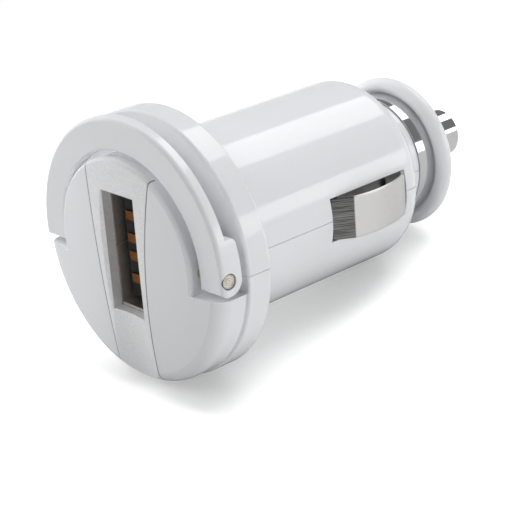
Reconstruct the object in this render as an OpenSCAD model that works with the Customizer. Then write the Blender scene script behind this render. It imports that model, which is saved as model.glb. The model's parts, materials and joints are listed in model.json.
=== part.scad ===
// Plug-in charger for a car's lighter socket, with one USB port and a swing-out pull handle.
// The plug lies along Y: the port faces -Y and the sprung tip points to +Y.
// The origin is on the plug's axis, in the plane where the flange stops against the socket.

/* [Barrel and flange] */
// Outside radius of the barrel that enters the socket
barrel_r = 10.4; // [10.2:0.05:10.6]
// Length of the barrel behind the flange
barrel_len = 26.9; // [26.4:0.1:30]
// Radius of the rounding at the barrel's far end
barrel_end_r = 2.2; // [0.8:0.1:2.4]
// Wall of the two housing shells
wall = 1.6; // [1.3:0.1:1.7]
// Radius of the flange that stops against the socket
flange_r = 14.4; // [14.2:0.1:16]
// Thickness of the flange
flange_t = 3.1; // [2.9:0.1:4]
// Radius of the small roundings on the flange's edges
flange_edge_r = 0.35; // [0.1:0.05:0.6]
// Fine gap that shows as the parting line between the two shells
seam_gap = 0.06; // [0.02:0.01:0.1]

/* [Nose] */
// Radius of the nose's shoulder next to the barrel
neck_r = 7.0; // [6.85:0.05:7.3]
// Length of the shoulder, from the barrel's end to the metal band
neck_len = 2.9; // [2:0.1:4]
// Outside radius of the metal band
band_r = 7.2; // [7.1:0.05:7.6]
// Wall of the metal band
band_t = 0.45; // [0.3:0.05:0.5]
// Width of the metal band
band_w = 2.4; // [2:0.1:4]
// Radius of the bore that guides the tip's collar
nose_bore_r = 4.8; // [4.6:0.1:5]
// Radius from the axis to the middle of the end ring's round rim
ring_mid_r = 7.83; // [7.75:0.05:8.2]
// Radius of the end ring's round rim in section
ring_rim_r = 0.94; // [0.8:0.02:1.1]

/* [Sprung tip] */
// Radius of the tip contact
tip_r = 2.78; // [2.4:0.05:3]
// Length of the tip that stands out of the end ring
tip_out = 8.7; // [7:0.1:9.2]
// Radius of the tip's rounded end edge
tip_edge_r = 1.0; // [0.4:0.1:1.6]
// How far the tip can be pushed in
tip_travel = 3.0; // [2:0.1:3.2]
// Radius of the collar that keeps the tip in the nose
tip_collar_r = 4.3; // [3.9:0.1:4.5]
// Thickness of that collar
tip_collar_t = 0.8; // [0.6:0.1:1]
// Diameter of the coil spring's wire
spring_wire = 0.4; // [0.3:0.05:0.45]
// Radius of the coil spring, to the middle of the wire
spring_coil_r = 3.3; // [3.1:0.1:3.6]
// Turns of the coil spring
spring_turns = 5; // [4:1:6]

/* [Front cap] */
// How far the core that the pull handle lies round stays inside the flange's edge
core_inset = 4.0; // [3.8:0.1:4.2]
// Height of the core's crown in front of the flange
core_h = 4.65; // [4.3:0.05:5.2]
// Radius of the domed front
dome_r = 95; // [70:5:200]
// Radius of the rounding at the core's rim
core_edge_r = 0.4; // [0.2:0.05:0.6]
// How far the skirt below the handle stays inside the flange's edge
skirt_inset = 0.2; // [0.1:0.05:0.5]
// Radius of the soft rounding round the skirt's front
skirt_edge_r = 1.8; // [1:0.1:2.2]
// Height of the ledges that the handle's ends stand over
ledge_z = -1.8; // [-2.4:0.1:-1.7]
// Wall of the barrel outside the tube that locates the cap in the housing
spigot_inset = 1.4; // [1.2:0.1:1.6]
// Wall of that tube
spigot_t = 1.0; // [0.8:0.1:1.2]
// Depth of that tube behind the flange's front
spigot_len = 4.1; // [3.2:0.1:4.4]
// Height of the locking collar round the tube
lock_h = 0.7; // [0.4:0.1:0.8]
// Width of the locking collar
lock_w = 1.0; // [0.6:0.1:1.4]

/* [Face plate] */
// Half of the plate's width at its waist
plate_waist = 3.3; // [3.1:0.1:3.8]
// Height of the plate's waist on the face
plate_waist_z = -13; // [-14:0.5:-10]
// Radius of the plate's long curved sides
plate_side_r = 134; // [110:2:180]
// Thickness of the plate round the port
plate_t = 1.5; // [1.2:0.1:1.7]
// Depth of the plate's thicker foot
plate_foot_t = 3.1; // [2.9:0.1:3.3]
// Height where the thicker foot starts
plate_foot_z = -9.5; // [-10.5:0.1:-8.5]
// Radius of the thumb hollow in the plate's foot
hollow_r = 9; // [7:0.5:14]
// Slope of the hollow's floor in degrees
hollow_tilt = 8.3; // [6:0.1:9]
// Depth of the hollow at the port's lower edge
hollow_d = 0.35; // [0.2:0.05:0.5]
// Gap between the plate and its seat in the cap
plate_gap = 0.04; // [0.02:0.01:0.08]

/* [USB port] */
// Width of the port's opening in the plate
port_w = 5.1; // [5:0.05:5.4]
// Height of the port's opening in the plate
port_h = 13.15; // [12.9:0.05:13.5]
// Height of the port's middle on the face
port_z = 0.17; // [-0.4:0.01:0.6]
// Size of the bevel round the opening
port_lip = 0.3; // [0.1:0.05:0.4]
// Clear width inside the metal shell
usb_w = 4.9; // [4.8:0.05:5.12]
// Clear height inside the metal shell
usb_h = 12.45; // [12.3:0.05:12.6]
// Sheet thickness of the metal shell
usb_sheet = 0.3; // [0.25:0.05:0.35]
// Length of the metal shell
usb_len = 14.4; // [13.8:0.1:15]
// Thickness of the plastic tongue
tongue_t = 1.84; // [1.7:0.02:1.95]
// Width of the plastic tongue
tongue_w = 11.2; // [10.8:0.1:11.6]
// Length of the plastic block in the shell's back
tongue_block = 4.7; // [4:0.1:6]
// How far the tongue's end lies behind the shell's mouth
tongue_back = 1.05; // [0.9:0.05:1.4]
// Width of one contact strip
contact_w = 1.0; // [0.8:0.05:1.2]
// Thickness of one contact strip
contact_t = 0.2; // [0.15:0.01:0.25]
// Distance from the port's middle to the inner contacts
contact_inner = 1.0; // [0.95:0.05:1.1]
// Distance from the port's middle to the outer contacts
contact_outer = 3.5; // [3.4:0.05:3.6]

/* [Pull handle] */
// Gap between the core and the handle
handle_gap = 0.6; // [0.4:0.05:0.8]
// Width of the handle's bow across its face
handle_w = 3.5; // [3.1:0.1:3.6]
// Thickness of the bow
handle_t = 1.25; // [1:0.05:1.6]
// Thickness of the handle's two ends round the pins
lug_t = 2.5; // [2.3:0.05:2.7]
// Gap between those ends and the flange
lug_gap = 0.95; // [0.6:0.05:1.1]
// Radius of the rounded ends, from the pin's axis
lug_r = 1.6; // [1.4:0.05:1.7]
// Height of the hinge pins' axis
pin_z = 0.4; // [0.3:0.05:0.8]
// Height where the thick ends run out into the bow
lug_top_z = 4.4; // [3.6:0.1:6]
// Radius of the roundings on the handle's front edges
handle_edge_r = 0.5; // [0.2:0.05:0.6]

/* [Hinge pins] */
// Radius of a pin's shank
pin_r = 0.6; // [0.5:0.05:0.7]
// Radius of a pin's head
pin_head_r = 0.8; // [0.75:0.05:0.85]
// Height of a pin's head
pin_head_t = 0.5; // [0.4:0.05:0.6]
// How far a head lies below the handle's surface
pin_sunk = 0.12; // [0.05:0.01:0.2]
// Running clearance between a pin and the handle
pin_clear = 0.05; // [0.03:0.01:0.08]
// Depth of a pin in the core's wall
pin_grip = 1.5; // [1.2:0.1:1.8]

/* [Ground springs] */
// Length of the barrel left between the side slots and its far end
slot_end_gap = 2.9; // [2.7:0.1:3.5]
// Length of the side slots
slot_len = 11.4; // [11.2:0.1:11.8]
// Width of the side slots
slot_w = 4.9; // [4.7:0.1:5.3]
// Gap on each side of a spring in its slot
slot_side_gap = 0.1; // [0.05:0.01:0.2]
// Gap between the slot's front end and the spring's ramp
ramp_gap = 0.35; // [0.3:0.05:0.4]
// How far a spring's crown stands out of the barrel
spring_proud = 1.5; // [1.2:0.05:1.6]
// Radius of the spring's long arc
spring_arc_r = 11.9; // [11.6:0.1:12.4]
// Length of the steep ramp along the plug
ramp_len = 2.0; // [1.7:0.1:2.4]
// Length along the plug from the ramp to the crown
crown_back = 3.2; // [2.8:0.1:3.6]
// Thickness of the spring strip
strip_t = 0.35; // [0.3:0.05:0.4]

/* [Circuit board] */
// Thickness of the board
board_t = 1.2; // [1:0.1:1.3]
// Gap between the board's long edges and the housing
board_edge_gap = 0.44; // [0.4:0.02:0.6]
// Gap between the board's front end and the cap's tube
board_front_gap = 0.2; // [0.1:0.05:0.4]
// Gap between the board's back end and the nose's floor
board_back_gap = 0.7; // [0.5:0.1:1]
// Radius of the two capacitor cans, as a share of the room behind the port
can_share = 0.25; // [0.2:0.01:0.255]
// Gap between the far ends of the cans and the housing
can_gap = 0.9; // [0.8:0.1:1.5]
// Radius of the choke's round ends, as a share of the room behind the port
choke_share = 0.195; // [0.15:0.005:0.2]
// Height of the choke for each unit of that radius
choke_tall = 1.84; // [1.2:0.04:2]

/* [Hidden] */

$fn = 96;
eps = 0.01;
big = 60;

// Clearances
slide_gap = 0.05;
tip_gap = 0.08;
part_gap = 0.1;

// How far two shapes of one solid overlap where they join
join = 0.2;

// Places along the plug
flange_front = -flange_t;
crown_y = flange_front - core_h;
dome_mid_y = crown_y + dome_r;
neck_end = barrel_len + neck_len;
band_end = neck_end + band_w;
ring_y = band_end + sqrt(ring_rim_r * ring_rim_r - pow(ring_mid_r - band_r, 2));
ring_face = ring_y + 0.55;
tip_end = ring_face + tip_out;

// Nose, inside
band_seat_r = band_r - band_t - slide_gap;
ring_spigot_len = 2.0;
collar_front = band_end - ring_spigot_len - part_gap;
collar_back = collar_front - tip_collar_t;
stem_len = 1.2;
stem_r = spring_coil_r - spring_wire / 2 - 0.4;
terminal_t = 0.4;
coil_room = spring_turns * spring_wire + 0.2;
terminal_front = collar_back - tip_travel - coil_room;
terminal_back = terminal_front - terminal_t;
nose_tube_r = nose_bore_r + 1.3;
nose_floor_t = 1.0;
nose_floor_front = terminal_back - nose_floor_t;
lead_hole_r = 3.0;
end_wall = barrel_len - wall;

// Front cap
core_r = flange_r - core_inset;
skirt_r = flange_r - skirt_inset;
spigot_r = barrel_r - spigot_inset;
barrel_bore_r = barrel_r - wall;
plate_back = crown_y + plate_t;
foot_back = crown_y + plate_foot_t;
cap_floor = foot_back + 0.2;
spigot_end = flange_front + spigot_len;
spigot_bore_r = spigot_r - spigot_t;
lock_y = flange_front + 1.1;
skirt_wall = 1.6;

// Locating pegs between the shells
peg_r = 0.45;
peg_h = 1.0;
peg_x = barrel_r - wall / 2;
peg_places = [3.5, 9.0];

// Handle
handle_in_r = core_r + handle_gap;
handle_out_r = handle_in_r + handle_w;
lug_back = flange_front - lug_gap;
lug_front = lug_back - lug_t;
bow_back = lug_front + handle_t;
pin_y = lug_back - lug_r;
lug_bottom = pin_z - lug_r;
pin_end_x = handle_out_r - pin_sunk;
pin_head_x = pin_end_x - pin_head_t;
pin_tip_x = core_r - pin_grip;

// Port
usb_mouth = plate_back + part_gap / 2;
usb_back = usb_mouth + usb_len;
seam_len = 1.6;
seam_w = 0.16;
leaf_y = usb_mouth + 3.5;
leaf_len = 3;
leaf_w = 1.4;
leaf_place = 2.8;
leaf_tilt = 7;
tongue_face_x = -0.02;
tongue_tip = usb_mouth + tongue_back;
tongue_root = usb_back - tongue_block;
contact_places = [contact_outer, contact_inner, -contact_inner, -contact_outer];

// Ground springs
slot_end = barrel_len - slot_end_gap;
slot_start = slot_end - slot_len;
spring_w = slot_w - 2 * slot_side_gap;
crown_x = barrel_r + spring_proud;
arc_mid_x = crown_x - spring_arc_r;
ramp_start = slot_start + ramp_gap;
ridge_y = ramp_start + ramp_len;
arc_mid_y = ridge_y + crown_back;
ridge_x = arc_mid_x + sqrt(pow(spring_arc_r, 2) - pow(crown_back, 2));
ramp_foot_x = barrel_r - 0.4;
ramp_lip = 1.3;
root_y = slot_end - 0.3;
root_x = barrel_bore_r - 0.9;
bend_r = 1.1;
leg_x = root_x - 0.45;
leg_t = 0.3;
leg_len = 7.4;
leg_back = root_y;
leg_w = spring_w;
rail_t = 0.8;
tab_w = 1.6;

// Board and what stands on it
board_x = usb_w / 2 + usb_sheet + part_gap / 2;
board_back_x = board_x + board_t;
board_start = spigot_end + board_front_gap;
board_end = nose_floor_front - board_back_gap;
rib_t = 0.8;
rib_reach = 0.9;
rib_start = usb_back + 1.8;
board_w = 2 * (sqrt(pow(barrel_bore_r, 2) - pow(board_back_x, 2)) - board_edge_gap);
tab_y = board_end - 0.9;
room_end = tab_y - 0.6;
room = room_end - usb_back;
can_r = can_share * room;
can_h = board_x + sqrt(pow(barrel_bore_r - can_gap, 2) - pow(2 * can_r, 2));
can_y = room_end - can_r;
choke_r = choke_share * room;
choke_h = choke_tall * choke_r;
choke_flange = choke_r / 3;
choke_y = usb_back + 1 + choke_r;
chip_y = board_start + 5.2;
diode_y = choke_y + 1.4;
diode_z = board_w / 2 - 3.2;
resistor_y = choke_y - 1.6;
resistor_z = 2.8 - board_w / 2;
lead_r = 0.35;
lead_x = 1.4;
lead_z = 1.2;
lead_turn_y = room_end;

white = [0.93, 0.94, 0.95];
silver = [0.78, 0.79, 0.8];
chrome = [0.82, 0.82, 0.83];
steel = [0.7, 0.7, 0.69];
brass = [0.85, 0.68, 0.4];
copper = [0.78, 0.45, 0.22];
black = [0.06, 0.06, 0.065];
board_green = [0.1, 0.35, 0.2];

// Turns a profile drawn as (radius, place along the plug) round the plug's axis
module turned() {
  rotate([-90, 0, 0]) rotate_extrude($fn = 144) children();
}

// A round bar along the plug
module bar_y(r, y0, y1) {
  translate([0, y0, 0]) rotate([-90, 0, 0]) cylinder(r = r, h = y1 - y0);
}

// A round bar across the plug, along X
module bar_x(r, x0, x1, y, z) {
  translate([x0, y, z]) rotate([0, 90, 0]) cylinder(r = r, h = x1 - x0);
}

// A box between two corners
module block(low, high) {
  translate(low) cube(high - low);
}

// Rectangle between two corners
module area(low, high) {
  translate(low) square(high - low);
}

// Rectangle from the axis outwards with its outer corners rounded, r0 at the low end and r1 at the high end
module rounded_disc(radius, y0, y1, r0, r1) {
  difference() {
    area([0, y0], [radius, y1]);
    if (r0 > 0) area([radius - r0, y0 - 1], [radius + 1, y0 + r0]);
    if (r1 > 0) area([radius - r1, y1 - r1], [radius + 1, y1 + 1]);
  }
  if (r0 > 0) translate([radius - r0, y0 + r0]) circle(r0, $fn = 48);
  if (r1 > 0) translate([radius - r1, y1 - r1]) circle(r1, $fn = 48);
}

// Everything behind the domed front
module front_dome() {
  translate([0, dome_mid_y, 0]) rotate([-90, 0, 0]) sphere(r = dome_r, $fn = 200);
}

// Distance along the plug of the domed front at a radius
function dome_y(r) = dome_mid_y - sqrt(dome_r * dome_r - r * r);

// Housing: two half shells that close round everything inside
module housing_outside() {
  turned() {
    rounded_disc(flange_r, flange_front, 0, flange_edge_r, flange_edge_r);
    rounded_disc(barrel_r, -flange_edge_r, barrel_len, 0, barrel_end_r);
    area([0, barrel_len - eps], [neck_r, neck_end]);
    area([0, neck_end - eps], [band_seat_r, band_end]);
  }
}

module housing_inside() {
  turned() {
    area([0, flange_front - 1], [spigot_r + slide_gap, spigot_end + part_gap]);
    area([0, lock_y - slide_gap], [spigot_r + lock_h + slide_gap, lock_y + lock_w + slide_gap]);
    difference() {
      area([0, spigot_end], [barrel_bore_r, end_wall]);
      area([0, nose_floor_front], [nose_tube_r, barrel_len]);
    }
    area([0, spigot_end], [lead_hole_r, terminal_back + eps]);
    area([0, terminal_back], [nose_bore_r, band_end + 1]);
  }
}

module side_slots() {
  for (side = [-1, 1]) {
    translate([side * barrel_r, (slot_start + slot_end) / 2, 0])
      cube([2 * (wall + 0.6), slot_len, slot_w], center = true);
  }
}

// Rails that hold the board's edges and the spring legs
module inner_rails() {
  intersection() {
    bar_y(barrel_bore_r + wall / 2, rib_start - 1, end_wall);
    for (up = [-1, 1]) {
      for (x = [board_x - part_gap - rib_t, board_back_x + part_gap]) {
        translate([x, rib_start, up > 0 ? board_w / 2 - rib_reach : -big])
          cube([rib_t, board_end - rib_start, big - board_w / 2 + rib_reach]);
      }
      for (side = [-1, 1]) {
        translate([side * (leg_x + big / 2 - 0.4), leg_back - leg_len / 2, up * (leg_w / 2 + part_gap + rail_t / 2)])
          cube([big, leg_len - 1, rail_t], center = true);
      }
    }
  }
}

module housing() {
  difference() {
    union() {
      difference() {
        housing_outside();
        housing_inside();
      }
      inner_rails();
    }
    side_slots();
  }
}

module pegs(r, h) {
  for (side = [-1, 1]) {
    for (y = peg_places) translate([side * peg_x, y, -h / 2]) cylinder(r = r, h = h, $fn = 32);
  }
}

module upper_shell() {
  color(white) difference() {
    intersection() {
      housing();
      translate([-big / 2, -big / 2, seam_gap / 2]) cube([big, 2 * big, big]);
    }
    pegs(peg_r + slide_gap, 2 * peg_h + 0.2);
  }
}

module lower_shell() {
  color(white) {
    intersection() {
      housing();
      translate([-big / 2, -big / 2, -big - seam_gap / 2]) cube([big, 2 * big, big]);
    }
    pegs(peg_r, 2 * peg_h);
  }
}

// Front cap: a core for the handle to lie round, over a wider skirt
module cap_outside() {
  intersection() {
    union() {
      turned() rounded_disc(core_r, crown_y - 1, flange_front, 0, 0);
      intersection() {
        turned() rounded_disc(skirt_r, crown_y - 1, flange_front, 0, flange_edge_r);
        translate([-big / 2, -big / 2, ledge_z - big]) cube(big);
      }
    }
    front_dome();
    rim_rounding();
  }
}

// Rounds the core's rim and the skirt's front edge where they meet the dome
module rim_rounding() {
  core_rim_y = dome_y(core_r);
  skirt_rim_y = dome_y(skirt_r - skirt_edge_r);
  union() {
    intersection() {
      turned() union() {
        rounded_disc(core_r, core_rim_y - 0.02, flange_front + 1, core_edge_r, 0);
        area([0, crown_y - 1], [core_r - core_edge_r, flange_front]);
      }
      translate([-big / 2, -big / 2, ledge_z]) cube(big);
    }
    intersection() {
      turned() union() {
        rounded_disc(skirt_r, skirt_rim_y, flange_front + 1, skirt_edge_r, 0);
        area([0, crown_y - 1], [skirt_r - skirt_edge_r, flange_front]);
      }
      translate([-big / 2, -big / 2, ledge_z - big + eps]) cube(big);
    }
  }
}

// Outline of the plate between its two long arcs, drawn as (x, z)
module plate_outline(grow) {
  intersection() {
    circle(flange_r + 2, $fn = 96);
    difference() {
      square(2 * flange_r, center = true);
      for (side = [-1, 1]) {
        translate([side * (plate_waist + grow + plate_side_r), plate_waist_z])
          circle(plate_side_r, $fn = 360);
      }
    }
  }
}

// Room of the plate: a thin plate round the port and a thicker foot below it
module plate_room(grow) {
  rotate([90, 0, 0]) {
    translate([0, 0, -plate_back - grow]) linear_extrude(big) plate_outline(grow);
    translate([0, 0, -foot_back - grow]) linear_extrude(big) intersection() {
      plate_outline(grow);
      translate([-flange_r, plate_foot_z - 2 * flange_r + grow]) square(2 * flange_r);
    }
  }
}

// Tilted round bar whose underside is the floor of the thumb hollow
module thumb_hollow() {
  port_low = port_z - port_h / 2;
  floor_y = dome_y(port_low) + hollow_d;
  translate([0, floor_y, port_low]) rotate([hollow_tilt, 0, 0])
    translate([0, -hollow_r, -flange_r]) cylinder(r = hollow_r, h = 2 * flange_r, $fn = 120);
}

module front_cap() {
  shell_w = usb_w + 2 * usb_sheet;
  shell_h = usb_h + 2 * usb_sheet;
  color(white) difference() {
    union() {
      cap_outside();
      turned() area([spigot_bore_r, flange_front - 0.5], [spigot_r, spigot_end]);
      turned() area([spigot_bore_r, lock_y], [spigot_r + lock_h, lock_y + lock_w]);
    }
    bar_y(spigot_bore_r, cap_floor, spigot_end + 1);
    intersection() {
      turned() area([spigot_r + 1.2, foot_back + 0.6], [skirt_r - skirt_wall, flange_front + 1]);
      translate([-big / 2, -big / 2, ledge_z - skirt_wall - big]) cube(big);
    }
    plate_room(plate_gap);
    translate([0, cap_floor, port_z])
      cube([shell_w + 2 * part_gap, big, shell_h + 2 * part_gap], center = true);
    for (side = [0, 1]) mirror([side, 0, 0]) bar_x(pin_r + 0.02, pin_tip_x - 0.1, big, pin_y, pin_z);
  }
}

module face_plate() {
  color(silver) difference() {
    intersection() {
      plate_room(0);
      cap_outside();
    }
    translate([0, crown_y, port_z]) cube([port_w, big, port_h], center = true);
    port_bevel();
    thumb_hollow();
  }
}

// Bevel round the port's opening
module port_bevel() {
  out = port_lip + 1;
  hull() {
    translate([0, crown_y + port_lip + 0.1, port_z])
      cube([port_w, 0.01, port_h], center = true);
    translate([0, crown_y - 1 + 0.1, port_z])
      cube([port_w + 2 * out, 0.01, port_h + 2 * out], center = true);
  }
}

// Pull handle: a bow round the core, thicker where it hangs on its two pins
module handle_section() {
  edge = handle_edge_r;
  difference() {
    area([handle_in_r, lug_front], [handle_out_r, lug_back]);
    area([handle_out_r - edge, lug_front - 1], [handle_out_r + 1, lug_front + edge]);
    area([handle_in_r - 1, lug_front - 1], [handle_in_r + edge / 2, lug_front + edge / 2]);
  }
  translate([handle_out_r - edge, lug_front + edge]) circle(edge, $fn = 48);
  translate([handle_in_r + edge / 2, lug_front + edge / 2]) circle(edge / 2, $fn = 48);
}

// Side view of the handle, drawn as (y, z)
module handle_side() {
  corner = 0.6;
  step_r = 0.5;
  top = handle_out_r + 1;
  difference() {
    union() {
      translate([pin_y, pin_z]) circle(lug_r, $fn = 64);
      area([lug_front + corner, lug_bottom], [pin_y, pin_z]);
      translate([lug_front + corner, lug_bottom + corner]) circle(corner, $fn = 40);
      area([lug_front - 1, lug_bottom + corner], [pin_y, top]);
      area([lug_front, pin_z], [lug_back, lug_top_z]);
      area([lug_front, pin_z], [bow_back, top]);
    }
    translate([lug_back - step_r, lug_top_z - step_r]) difference() {
      square(step_r + 1);
      circle(step_r, $fn = 40);
    }
  }
}

module pull_handle() {
  color(white) difference() {
    intersection() {
      turned() handle_section();
      translate([-big / 2, 0, 0]) rotate([90, 0, 90]) linear_extrude(big) handle_side();
    }
    for (side = [0, 1]) mirror([side, 0, 0]) {
      bar_x(pin_r + pin_clear, core_r, big, pin_y, pin_z);
      bar_x(pin_head_r + pin_clear, pin_head_x - pin_clear, big, pin_y, pin_z);
    }
  }
}

// Hinge pin with a head that is spread over a shallow ring groove
module hinge_pin() {
  color(brass) translate([0, pin_y, pin_z]) rotate([0, 90, 0]) rotate_extrude($fn = 48) difference() {
    union() {
      area([0, pin_tip_x], [pin_r, pin_end_x]);
      area([0, pin_head_x], [pin_head_r, pin_end_x]);
    }
    translate([pin_head_r * 0.62, pin_end_x]) circle(0.08, $fn = 24);
    translate([pin_head_r, pin_end_x]) rotate(45) square(0.16, center = true);
  }
}

module right_hinge_pin() {
  hinge_pin();
}

module left_hinge_pin() {
  mirror([1, 0, 0]) hinge_pin();
}

// Metal shell of the port, folded from one sheet, with two sprung leaves that grip the plug
module usb_shell() {
  wall_x = usb_w / 2;
  seam_low = port_z + 0.1;
  color(steel) {
    difference() {
      block([-wall_x - usb_sheet, usb_mouth, port_z - usb_h / 2 - usb_sheet],
            [wall_x + usb_sheet, usb_back, port_z + usb_h / 2 + usb_sheet]);
      block([-wall_x, usb_mouth - 1, port_z - usb_h / 2],
            [wall_x, usb_back - usb_sheet, port_z + usb_h / 2]);
      block([-usb_w, usb_mouth - 1, seam_low], [-wall_x + eps, usb_mouth + seam_len, seam_low + seam_w]);
      for (up = [-1, 1]) {
        translate([wall_x, leaf_y + leaf_len / 2, port_z + up * leaf_place])
          cube([2, leaf_len + 0.6, leaf_w + 0.6], center = true);
      }
      block([-wall_x + 0.6, usb_back - 1, port_z - tongue_w / 2 + 0.4],
            [wall_x + 1, usb_back + 1, port_z + tongue_w / 2 - 0.4]);
    }
    for (up = [-1, 1]) {
      translate([wall_x, leaf_y - 0.4, port_z + up * leaf_place]) rotate([0, 0, leaf_tilt])
        translate([0, 0, -leaf_w / 2]) cube([usb_sheet * 0.7, leaf_len, leaf_w]);
    }
  }
}

// Plastic block in the shell's back, with the tongue that carries the contacts
module usb_tongue() {
  color(black) difference() {
    union() {
      block([-usb_w / 2 + slide_gap, tongue_root, port_z - usb_h / 2 + slide_gap],
            [usb_w / 2 - slide_gap, usb_back - usb_sheet - slide_gap, port_z + usb_h / 2 - slide_gap]);
      block([tongue_face_x - tongue_t, tongue_tip, port_z - tongue_w / 2],
            [tongue_face_x, tongue_root + eps, port_z + tongue_w / 2]);
    }
    for (place = contact_places) {
      block([tongue_face_x, tongue_root - 1, port_z + place - contact_w / 2 - 0.02],
            [tongue_face_x + contact_t + 0.02, usb_back + 1, port_z + place + contact_w / 2 + 0.02]);
    }
  }
}

// Contact strip: hooked round the tongue's tip, along its face and down to the board
module usb_contact(place) {
  z0 = port_z + place - contact_w / 2;
  z1 = port_z + place + contact_w / 2;
  tail_y = usb_back + 0.25;
  color(copper) {
    block([tongue_face_x, tongue_tip - contact_t, z0], [tongue_face_x + contact_t, tail_y, z1]);
    block([tongue_face_x - tongue_t * 0.8, tongue_tip - contact_t, z0], [tongue_face_x + eps, tongue_tip, z1]);
    block([tongue_face_x, tail_y - contact_t, z0], [board_x - 0.02, tail_y, z1]);
  }
}

// Ground spring: a strip with a steep ramp, a long arc and a root tucked into the slot's end
module spring_profile() {
  inner_r = spring_arc_r - strip_t;
  bend_y = root_y - bend_r;
  bend_x = arc_mid_x + sqrt(pow(spring_arc_r, 2) - pow(bend_y - arc_mid_y, 2)) - bend_r;
  ridge_in = ridge_x - strip_t * 1.1;
  intersection() {
    translate([arc_mid_x, arc_mid_y]) difference() {
      circle(spring_arc_r, $fn = 240);
      circle(inner_r, $fn = 240);
    }
    area([0, ridge_y], [big, bend_y]);
  }
  intersection() {
    translate([bend_x, bend_y]) difference() {
      circle(bend_r, $fn = 64);
      circle(bend_r - strip_t, $fn = 64);
    }
    area([bend_x, bend_y - eps], [big, big]);
  }
  area([root_x, root_y - strip_t], [bend_x + eps, root_y]);
  polygon([
    [ramp_foot_x, ramp_start], [ridge_x, ridge_y], [ridge_x, ridge_y + strip_t / 2],
    [ridge_in, ridge_y + strip_t / 2], [ramp_foot_x - strip_t / 3, ramp_start + strip_t]
  ]);
  area([ramp_foot_x - ramp_lip, ramp_start], [ramp_foot_x, ramp_start + strip_t]);
}

module ground_spring() {
  color(steel) translate([0, 0, -spring_w / 2]) linear_extrude(spring_w) spring_profile();
}

module right_ground_spring() {
  ground_spring();
}

module left_ground_spring() {
  mirror([1, 0, 0]) ground_spring();
}

// Fixed leg of a ground spring, with a tab to the board's face at board_side
module spring_leg(board_side) {
  color(steel) {
    block([leg_x - leg_t, leg_back - leg_len, -leg_w / 2], [leg_x, leg_back, leg_w / 2]);
    block([board_side, tab_y, -leg_w / 2], [leg_x - eps, tab_y + leg_t, -leg_w / 2 + tab_w]);
  }
}

module right_spring_leg() {
  spring_leg(board_back_x + 0.02);
}

module left_spring_leg() {
  mirror([1, 0, 0]) spring_leg(-board_x + 0.02);
}

// Metal band pushed over the nose
module end_band() {
  color(chrome) turned() area([band_r - band_t, neck_end + 0.03], [band_r, band_end - 0.02]);
}

// Ring that screws into the nose and keeps the tip in
module end_ring() {
  color(white) turned() difference() {
    union() {
      translate([ring_mid_r, ring_y]) circle(ring_rim_r, $fn = 64);
      area([0, band_end + 0.03], [ring_mid_r, ring_face]);
      area([0, band_end - ring_spigot_len], [nose_bore_r - slide_gap, band_end + 0.1]);
      area([0, ring_face - 0.1], [tip_r + 1.3, ring_face + 0.35]);
    }
    area([-1, -big], [tip_r + tip_gap, big]);
  }
}

// Sprung tip: a pin with a collar inside the nose and a stem for the coil spring
module tip_contact() {
  dome = 5;
  color(chrome) turned() {
    intersection() {
      rounded_disc(tip_r, collar_front - join, tip_end, 0, tip_edge_r);
      translate([0, tip_end - dome]) circle(dome, $fn = 96);
    }
    area([0, collar_front - join], [tip_r, tip_end - tip_edge_r - join]);
    area([0, collar_back], [tip_collar_r, collar_front]);
    area([0, collar_back - stem_len], [stem_r, collar_back + eps]);
  }
}

// Points of one ring of the coil's wire at a turn angle
function wire_ring(a, y) = [
  for (k = [0:7]) let (b = 360 * k / 8)
    [
      (spring_coil_r + spring_wire / 2 * cos(b)) * cos(a),
      y + spring_wire / 2 * sin(b),
      (spring_coil_r + spring_wire / 2 * cos(b)) * sin(a)
    ]
];

// Coil spring between the brass terminal and the tip's collar
module tip_spring() {
  steps = 24 * spring_turns;
  y0 = terminal_front + spring_wire / 2 + 0.02;
  y1 = collar_back - spring_wire / 2 - 0.02;
  points = [
    for (i = [0:steps]) each wire_ring(360 * spring_turns * i / steps, y0 + (y1 - y0) * i / steps)
  ];
  sides = [
    for (i = [0:steps - 1], k = [0:7])
      [i * 8 + k, i * 8 + (k + 1) % 8, (i + 1) * 8 + (k + 1) % 8, (i + 1) * 8 + k]
  ];
  first = [for (k = [7:-1:0]) k];
  last = [for (k = [0:7]) steps * 8 + k];
  color(steel) polyhedron(points, concat(sides, [first, last]), convexity = 10);
}

// Brass seat of the coil spring
module tip_terminal() {
  color(brass) {
    bar_y(nose_bore_r - slide_gap, terminal_back, terminal_front);
    translate([0, terminal_front - eps, 0]) rotate([-90, 0, 0]) cylinder(r = stem_r - 0.2, h = 0.5 + eps);
  }
}

// Wire from the brass seat, through the nose's floor, to the board
module tip_lead() {
  color("firebrick") {
    translate([lead_x, 0, lead_z]) bar_y(lead_r, lead_turn_y, terminal_back - 0.01);
    translate([lead_x, lead_turn_y, lead_z]) sphere(r = lead_r, $fn = 32);
    bar_x(lead_r, lead_x, board_x - 0.02, lead_turn_y, lead_z);
  }
}

module circuit_board() {
  cut = 1.2;
  color(board_green) translate([board_x, 0, 0]) rotate([90, 0, 90]) linear_extrude(board_t) difference() {
    area([board_start, -board_w / 2], [board_end, board_w / 2]);
    for (y = [board_start, board_end], z = [-board_w / 2, board_w / 2]) {
      translate([y, z]) rotate(45) square(cut, center = true);
    }
  }
}

// Capacitor can on the board, with a rolled groove near its foot
module capacitor(y, z) {
  groove_x = 1.3;
  translate([board_x - 0.02, y, z]) rotate([0, -90, 0]) rotate_extrude($fn = 64) difference() {
    rounded_disc(can_r, 0, can_h, 0.2, 0.35);
    translate([can_r + 0.25, groove_x]) circle(0.45, $fn = 32);
    area([-1, can_h - 0.15], [can_r - 0.6, can_h + 1]);
  }
}

module input_capacitor() {
  color([0.15, 0.15, 0.2]) capacitor(can_y, can_r + part_gap / 2);
}

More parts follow.
